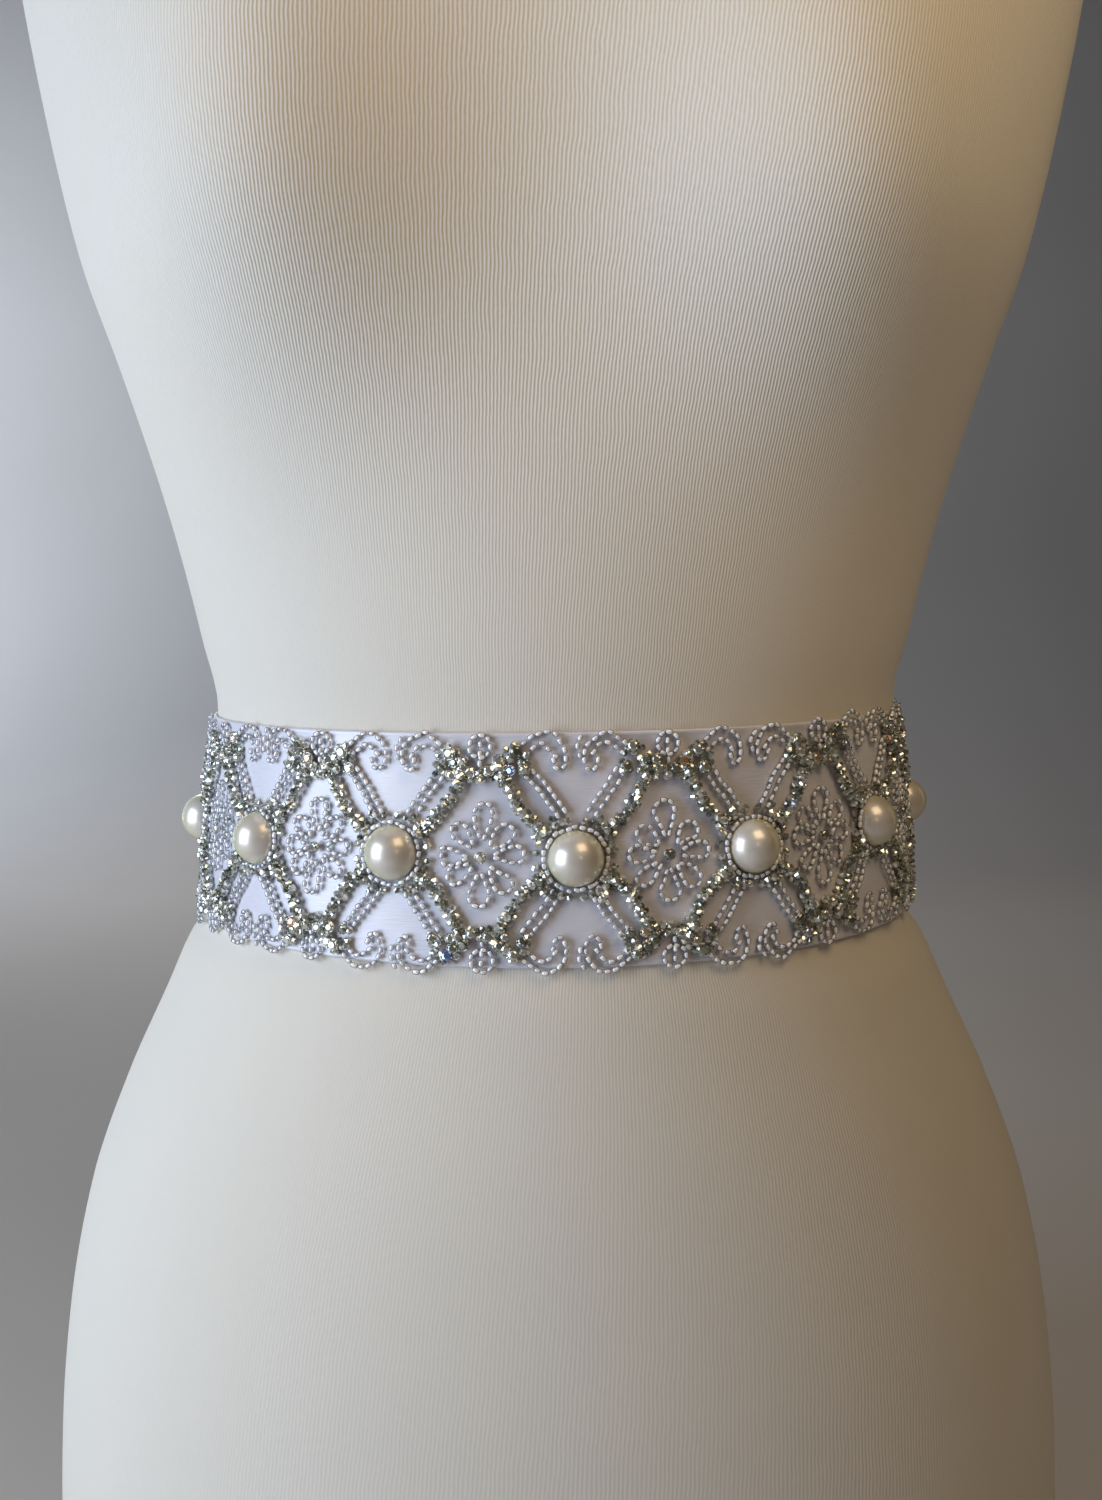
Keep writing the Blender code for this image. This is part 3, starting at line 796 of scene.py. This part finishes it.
def seed_bead():
    """A rounded bead with a dimpled hole at each end, its axis along Z, 1 mm long and wide."""
    half = ((0.12, 0.40), (0.28, 0.5), (0.44, 0.40), (0.5, 0.16))
    profile = [(r * MM, -z * MM) for r, z in half] + [(r * MM, z * MM) for r, z in half[::-1]]
    return template("seed_bead", lathe(profile, 8, True))


def cut_bead():
    """A faceted bead, its axis along Z, 1 mm across."""
    profile = ((0.2, -0.42), (0.5, -0.12), (0.5, 0.12), (0.2, 0.42))
    return template("cut_bead", lathe([(r * MM, z * MM) for r, z in profile], 6, False))


def crystal_stone():
    """A round stone with a flat table, a crown of facets and a thin rim, 1 mm across."""
    shape = bmesh.new()
    sides = 8
    rings = []
    for radius, z, shift in ((0.44, -0.05, 0.5), (0.5, 0.02, 0.0), (0.4, 0.16, 0.5), (0.26, 0.24, 0.0)):
        ring = []
        for i in range(sides):
            a = 2 * math.pi * (i + shift) / sides
            ring.append(shape.verts.new((radius * math.cos(a) * MM, radius * math.sin(a) * MM, z * MM)))
        rings.append((ring, shift))
    for (low, shift), (high, _) in zip(rings, rings[1:]):
        for i in range(sides):
            j = (i + 1) % sides
            if shift:
                shape.faces.new((low[i], high[j], high[i]))
                shape.faces.new((low[i], low[j], high[j]))
            else:
                shape.faces.new((low[i], low[j], high[i]))
                shape.faces.new((low[j], high[j], high[i]))
    shape.faces.new(rings[0][0][::-1])
    shape.faces.new(rings[-1][0])
    bmesh.ops.recalc_face_normals(shape, faces=shape.faces)
    return template("crystal_stone", shape)


def stone_cup():
    """A shallow cup with four claws that holds a 1 mm stone."""
    profile = ((0.4, -0.34), (0.56, -0.1), (0.56, 0.04), (0.47, 0.04), (0.44, -0.06))
    shape = lathe([(r * MM, z * MM) for r, z in profile], 12, True)
    for i in range(4):
        a = math.pi / 4 + i * math.pi / 2
        claw = bmesh.ops.create_cone(
            shape,
            cap_ends=True,
            segments=5,
            radius1=0.1 * MM,
            radius2=0.05 * MM,
            depth=0.3 * MM,
        )
        way = Matrix.Translation((0.49 * MM * math.cos(a), 0.49 * MM * math.sin(a), 0.12 * MM))
        bmesh.ops.transform(shape, matrix=way, verts=claw["verts"])
    return template("stone_cup", shape)


def new_tree(name, inputs):
    """A geometry node tree with a geometry input, the named inputs and a geometry output."""
    tree = bpy.data.node_groups.new(name, "GeometryNodeTree")
    face = tree.interface
    face.new_socket("Geometry", in_out="INPUT", socket_type="NodeSocketGeometry")
    for label, kind in inputs:
        face.new_socket(label, in_out="INPUT", socket_type=kind)
    face.new_socket("Geometry", in_out="OUTPUT", socket_type="NodeSocketGeometry")
    return tree, tree.nodes.new("NodeGroupInput"), tree.nodes.new("NodeGroupOutput")


def vector_of(tree, x, y, z):
    """A vector from three numbers or sockets."""
    return add_node(tree, "ShaderNodeCombineXYZ", {0: x, 1: y, 2: z}).outputs[0]


def random_number(tree, given, low, high):
    """A random number for each bead, from the tree's seed."""
    inputs = {2: low, 3: high, "Seed": given.outputs["Seed"]}
    return add_node(tree, "FunctionNodeRandomValue", inputs, data_type="FLOAT").outputs[1]


def random_vector(tree, given, low, high):
    """A random vector for each bead, from the tree's seed."""
    inputs = {"Min": low, "Max": high, "Seed": given.outputs["Seed"]}
    return add_node(tree, "FunctionNodeRandomValue", inputs, data_type="FLOAT_VECTOR").outputs[0]


def stored(tree, name, kind):
    """An attribute that the mesh carries."""
    inputs = {"Name": name}
    return add_node(tree, "GeometryNodeInputNamedAttribute", inputs, data_type=kind).outputs["Attribute"]


def askew(tree, given, facing):
    """The rotation tilted at random within the tree's tilt, and turned any way about its Z axis."""
    tilt = given.outputs["Tilt"]
    less = calculate(tree, "MULTIPLY", tilt, -1.0)
    low, high = vector_of(tree, less, less, -3.1), vector_of(tree, tilt, tilt, 3.1)
    turn = add_node(tree, "FunctionNodeEulerToRotation", {0: random_vector(tree, given, low, high)})
    inputs = {"Rotation": facing, "Rotate By": turn.outputs[0]}
    return add_node(tree, "FunctionNodeRotateRotation", inputs, rotation_space="LOCAL").outputs[0]


def spaced_rows(tree, given):
    """The rows as curves with a point at every step of the tree's spacing."""
    rows = add_node(tree, "GeometryNodeMeshToCurve", {"Mesh": given.outputs["Geometry"]})
    inputs = {"Curve": rows.outputs[0], "Length": given.outputs["Spacing"]}
    return add_node(tree, "GeometryNodeResampleCurve", inputs, mode="LENGTH").outputs[0]


def copies_at(tree, given, points, copied, rotation, scale):
    """A copy of the object given under this name at each point, turned and scaled."""
    shape = add_node(tree, "GeometryNodeObjectInfo", {"Object": given.outputs[copied]})
    inputs = {"Points": points, "Instance": shape.outputs["Geometry"], "Rotation": rotation, "Scale": scale}
    return add_node(tree, "GeometryNodeInstanceOnPoints", inputs).outputs[0]


def end_tree(tree, given, result, shape):
    """Gives the shape the tree's material and hands it on."""
    inputs = {"Geometry": shape, "Material": given.outputs["Material"]}
    done = add_node(tree, "GeometryNodeSetMaterial", inputs)
    tree.links.new(done.outputs[0], result.inputs[0])


def end_with_tones(tree, given, result, copies, brightest):
    """Gives each copy a random tone, makes the copies real and ends the tree."""
    inputs = {"Geometry": copies, "Name": "tone", "Value": random_number(tree, given, 0.0, brightest)}
    toned = add_node(
        tree, "GeometryNodeStoreNamedAttribute", inputs, data_type="FLOAT", domain="INSTANCE"
    )
    real = add_node(tree, "GeometryNodeRealizeInstances", {"Geometry": toned.outputs[0]})
    end_tree(tree, given, result, real.outputs[0])


def strung_beads_tree():
    """Beads strung at a spacing along the rows, each a little out of line, of its own size and tone."""
    tree, given, result = new_tree(
        "strung_beads",
        (
            ("Bead", "NodeSocketObject"),
            ("Spacing", "NodeSocketFloat"),
            ("Length", "NodeSocketFloat"),
            ("Diameter", "NodeSocketFloat"),
            ("Unevenness", "NodeSocketFloat"),
            ("Shift", "NodeSocketFloat"),
            ("Tilt", "NodeSocketFloat"),
            ("Brightest", "NodeSocketFloat"),
            ("Seed", "NodeSocketInt"),
            ("Material", "NodeSocketMaterial"),
        ),
    )
    kept = add_node(tree, "GeometryNodeCaptureAttribute", {"Geometry": spaced_rows(tree, given)})
    kept.capture_items.new("VECTOR", "Along")
    tree.links.new(add_node(tree, "GeometryNodeInputTangent").outputs[0], kept.inputs["Along"])
    shift = given.outputs["Shift"]
    less = calculate(tree, "MULTIPLY", shift, -1.0)
    low, high = vector_of(tree, less, less, less), vector_of(tree, shift, shift, shift)
    moved = random_vector(tree, given, low, high)
    inputs = {"Geometry": kept.outputs["Geometry"], "Offset": moved}
    points = add_node(tree, "GeometryNodeSetPosition", inputs)
    # The bead's hole follows the row, and its X axis points out of the cloth
    first = add_node(
        tree, "FunctionNodeAlignRotationToVector", {"Vector": kept.outputs["Along"]}, axis="Z"
    )
    inputs = {"Rotation": first.outputs[0], "Vector": stored(tree, "outward", "FLOAT_VECTOR")}
    facing = add_node(tree, "FunctionNodeAlignRotationToVector", inputs, axis="X", pivot_axis="Z")
    smallest = calculate(tree, "SUBTRACT", 1.0, given.outputs["Unevenness"])
    largest = calculate(tree, "ADD", 1.0, given.outputs["Unevenness"])
    across = given.outputs["Diameter"]
    size = vector_of(tree, across, across, given.outputs["Length"])
    inputs = {0: size, "Scale": random_number(tree, given, smallest, largest)}
    scale = add_node(tree, "ShaderNodeVectorMath", inputs, operation="SCALE")
    turned = askew(tree, given, facing.outputs[0])
    beads = copies_at(tree, given, points.outputs[0], "Bead", turned, scale.outputs[0])
    end_with_tones(tree, given, result, beads, given.outputs["Brightest"])
    return tree


def set_stones_tree():
    """A copy of a stone or cup at each point, facing out of the cloth and a little askew."""
    tree, given, result = new_tree(
        "set_stones",
        (
            ("Stone", "NodeSocketObject"),
            ("Tilt", "NodeSocketFloat"),
            ("Seed", "NodeSocketInt"),
            ("Material", "NodeSocketMaterial"),
        ),
    )
    inputs = {"Vector": stored(tree, "outward", "FLOAT_VECTOR")}
    facing = add_node(tree, "FunctionNodeAlignRotationToVector", inputs, axis="Z")
    points = add_node(tree, "GeometryNodeMeshToPoints", {"Mesh": given.outputs["Geometry"]})
    turned = askew(tree, given, facing.outputs[0])
    size = stored(tree, "size", "FLOAT")
    stones = copies_at(tree, given, points.outputs[0], "Stone", turned, size)
    end_with_tones(tree, given, result, stones, 1.0)
    return tree


def thread_tree():
    """A thin thread along every row."""
    tree, given, result = new_tree(
        "beading_thread",
        (
            ("Spacing", "NodeSocketFloat"),
            ("Diameter", "NodeSocketFloat"),
            ("Material", "NodeSocketMaterial"),
        ),
    )
    half = calculate(tree, "MULTIPLY", given.outputs["Diameter"], 0.5)
    ring = add_node(tree, "GeometryNodeCurvePrimitiveCircle", {"Resolution": 4, "Radius": half})
    inputs = {"Curve": spaced_rows(tree, given), "Profile Curve": ring.outputs[0], "Fill Caps": True}
    tube = add_node(tree, "GeometryNodeCurveToMesh", inputs)
    end_tree(tree, given, result, tube.outputs[0])
    return tree


def grown(obj, tree, values, name):
    """The object's mesh after the node tree with these inputs, as a plain object of its own."""
    modifier = obj.modifiers.new(tree.name, "NODES")
    modifier.node_group = tree
    sockets = {item.name: item.identifier for item in tree.interface.items_tree if item.in_out == "INPUT"}
    for label, value in values.items():
        modifier[sockets[label]] = value
    bpy.context.view_layer.update()
    graph = bpy.context.evaluated_depsgraph_get()
    mesh = bpy.data.meshes.new_from_object(obj.evaluated_get(graph))
    obj.modifiers.remove(modifier)
    mesh.name = name
    made = bpy.data.objects.new(name, mesh)
    bpy.context.scene.collection.objects.link(made)
    return made


def make_pearls(material):
    """The domed pearls, each a smooth half ball with a rounded flat back."""
    shape = bmesh.new()
    reach = PEARL_COUNT // 2
    turns = np.linspace(0, math.pi / 2 * 0.98, 15)
    arc = [(PEARL_RADIUS * math.cos(t), PEARL_RADIUS * math.sin(t)) for t in turns]
    profile = [(PEARL_RADIUS * 0.9, 0.0), (PEARL_RADIUS * 0.985, 0.0)] + arc
    for k in range(-reach, reach + 1):
        pearl = lathe(profile, 40, True)
        x, y = repeat_place(k)
        at = on_pattern(x, y, PEARL_LEVEL)
        out = outward(x, y)
        across = (on_pattern(x + 1, y, 1.6) - on_pattern(x - 1, y, 1.6)).normalized()
        turn = Matrix((across, out.cross(across), out)).transposed()
        bmesh.ops.transform(pearl, matrix=Matrix.Translation(at) @ turn.to_4x4(), verts=pearl.verts)
        spare = bpy.data.meshes.new("spare")
        pearl.to_mesh(spare)
        pearl.free()
        shape.from_mesh(spare)
        bpy.data.meshes.remove(spare)
    pearls = new_piece("flat_back_pearls", shape, material)
    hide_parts(*[f"pearl_{i + 1:02d}" for i in range(PEARL_COUNT)])
    return pearls


def make_bead_work():
    """Every strung bead, stone, cup and thread of the applique, as plain meshes."""
    rng = np.random.default_rng(11)
    rows, stones = lay_out(rng)
    seeds, crystal, plate, nylon = silver_lined_glass(), cut_crystal(), silver_plate(), nylon_thread()
    beads_tree, stones_tree, string_tree = strung_beads_tree(), set_stones_tree(), thread_tree()
    seed_shape, cut_shape, stone_shape, cup_shape = seed_bead(), cut_bead(), crystal_stone(), stone_cup()
    made = []

    def string_beads(name, kind, spacing, values):
        """Beads on the rows of this kind, and the thread through them."""
        wires = rows_object(name + "_rows", rows[kind])
        made.append(grown(wires, beads_tree, {"Spacing": spacing * MM, **values}, name))
        thread = {"Spacing": THREAD_STEP * MM, "Diameter": THREAD_DIAMETER * MM, "Material": nylon}
        made.append(grown(wires, string_tree, thread, name + "_thread"))
        bpy.data.objects.remove(wires)

    seed_values = {
        "Bead": seed_shape,
        "Length": SEED_LENGTH,
        "Diameter": SEED_DIAMETER,
        "Unevenness": 0.1,
        "Tilt": 0.18,
        "Brightest": 1.0,
        "Material": seeds,
    }
    for name, kind, spacing, shift, number in (
        ("seed_bead_fringe", "fringe", SEED_SPACING, 0.12, 3),
        ("seed_bead_flowers", "inner", SEED_SPACING, 0.12, 4),
        ("seed_bead_halos", "halo", HALO_SPACING, 0.3, 6),
    ):
        string_beads(name, kind, spacing, {**seed_values, "Shift": shift * MM, "Seed": number})
    cut_values = {
        "Bead": cut_shape,
        "Length": CUT_DIAMETER,
        "Diameter": CUT_DIAMETER,
        "Unevenness": 0.18,
        "Shift": 0.35 * MM,
        "Tilt": 1.0,
        "Brightest": 0.905,
        "Seed": 5,
        "Material": crystal,
    }
    string_beads("cut_bead_lattice", "cut", CUT_SPACING, cut_values)
    spots = points_object("stone_spots", stones)
    for name, shape, finish in (("crystal_stones", stone_shape, crystal), ("stone_cups", cup_shape, plate)):
        values = {"Stone": shape, "Tilt": 0.3, "Seed": 7, "Material": finish}
        made.append(grown(spots, stones_tree, values, name))
    bpy.data.objects.remove(spots)
    for shape in (seed_shape, cut_shape, stone_shape, cup_shape):
        bpy.data.objects.remove(shape)
    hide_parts("beaded_applique")
    return made


def make_stage(material):
    """A pale floor under the form that sweeps up into a plain pale wall well behind it."""
    shape = bmesh.new()
    wall, sweep, half_width, height, front = 2.3, 0.9, 3.2, 3.2, -2.2
    # The floor's top is half a millimetre below the form's base
    sunk = 0.0005
    profile = [(front, 0.0), (wall - sweep, 0.0)]
    turns = np.linspace(0.1, math.pi / 2, 16)
    profile += [(wall - sweep + sweep * math.sin(t), sweep - sweep * math.cos(t)) for t in turns]
    profile += [(wall, height)]
    left = [shape.verts.new((-half_width, y, z - sunk)) for y, z in profile]
    right = [shape.verts.new((half_width, y, z - sunk)) for y, z in profile]
    for i in range(len(profile) - 1):
        shape.faces.new((left[i], right[i], right[i + 1], left[i + 1])).smooth = True
    new_piece("floor_and_backdrop", shape, material)


def add_light(name, at, towards, size, power, code):
    """A soft rectangular light at a place, turned towards another, that the camera does not see."""
    data = bpy.data.lights.new(name, "AREA")
    data.shape = "RECTANGLE"
    data.size, data.size_y = size
    data.energy = power
    data.color = srgb(code)[:3]
    light = bpy.data.objects.new(name, data)
    light.location = at
    light.rotation_euler = (Vector(towards) - Vector(at)).to_track_quat("-Z", "Y").to_euler()
    light.visible_camera = False
    bpy.context.scene.collection.objects.link(light)


def light_scene():
    """A cool window close by at the left, warm light from above, and soft light on wall and back."""
    add_light("window_softbox", (-0.87, -0.51, 0.44), (0, 0, 0.38), (0.75, 0.84), 11.2, "#DAE9FF")
    add_light("ceiling_softbox", (0.26, -0.42, 0.86), (0, 0, 0.52), (0.4, 0.4), 1.6, "#FFE2B8")
    add_light("warm_lamp", (0.28, -0.8, 0.48), (0, 0, 0.3), (0.1, 0.1), 0.12, "#FFD8B0")
    add_light("rim_softbox", (0.95, 0.3, 0.5), (0, 0, 0.35), (0.12, 0.8), 0.15, "#FFF0DE")
    add_light("wall_softbox", (-1.75, 1.2, 0.65), (-1.05, 2.1, 0.3), (0.5, 1.5), 27.0, "#D4E5FF")
    add_light("back_softbox", (-0.5, 1.5, 1.1), (0, 0, 0.4), (0.8, 0.8), 5.0, "#F6F4F4")
    world = bpy.data.worlds.new("soft_surround")
    world.use_nodes = True
    background = world.node_tree.nodes["Background"]
    background.inputs["Color"].default_value = srgb("#B4A692")
    background.inputs["Strength"].default_value = 0.03
    bpy.context.scene.world = world


def make_camera():
    """The photo's camera: just right of the form's middle, a little above the sash, looking down."""
    # Fitted to the photo: angles in radians, and the focal length in pixels of its 1500 high frame
    turn, drop, roll = 0.01, 0.104, -0.004
    reach, aside, rise = 475.1 * MM, -1.3 * MM, 66.3 * MM
    focal_pixels, frame_pixels, sensor = 1402.5, 1500, 36
    data = bpy.data.cameras.new("camera")
    data.sensor_width = sensor
    data.lens = focal_pixels / frame_pixels * sensor
    data.clip_start = 0.01
    camera = bpy.data.objects.new("camera", data)
    camera.location = (
        reach * math.sin(turn) + aside * math.cos(turn),
        -reach * math.cos(turn) + aside * math.sin(turn),
        SASH_HEIGHT + rise,
    )
    way = Vector((-math.sin(turn) * math.cos(drop), math.cos(turn) * math.cos(drop), -math.sin(drop)))
    facing = way.to_track_quat("-Z", "Y").to_matrix() @ Matrix.Rotation(roll, 3, "Z")
    camera.rotation_euler = facing.to_euler()
    bpy.context.scene.collection.objects.link(camera)
    bpy.context.scene.camera = camera


def build():
    """The dressed sash on its form, the stage, the lights and the camera."""
    jersey, satin = cotton_jersey(), polyester_satin()
    pieces = [make_form(jersey), make_ribbon(satin), make_pearls(pearl_lustre())]
    pieces += make_bead_work()
    for piece in pieces:
        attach(piece, "root")
    make_stage(painted_backdrop())
    light_scene()
    make_camera()
    bpy.context.scene.view_settings.view_transform = "Standard"


build()
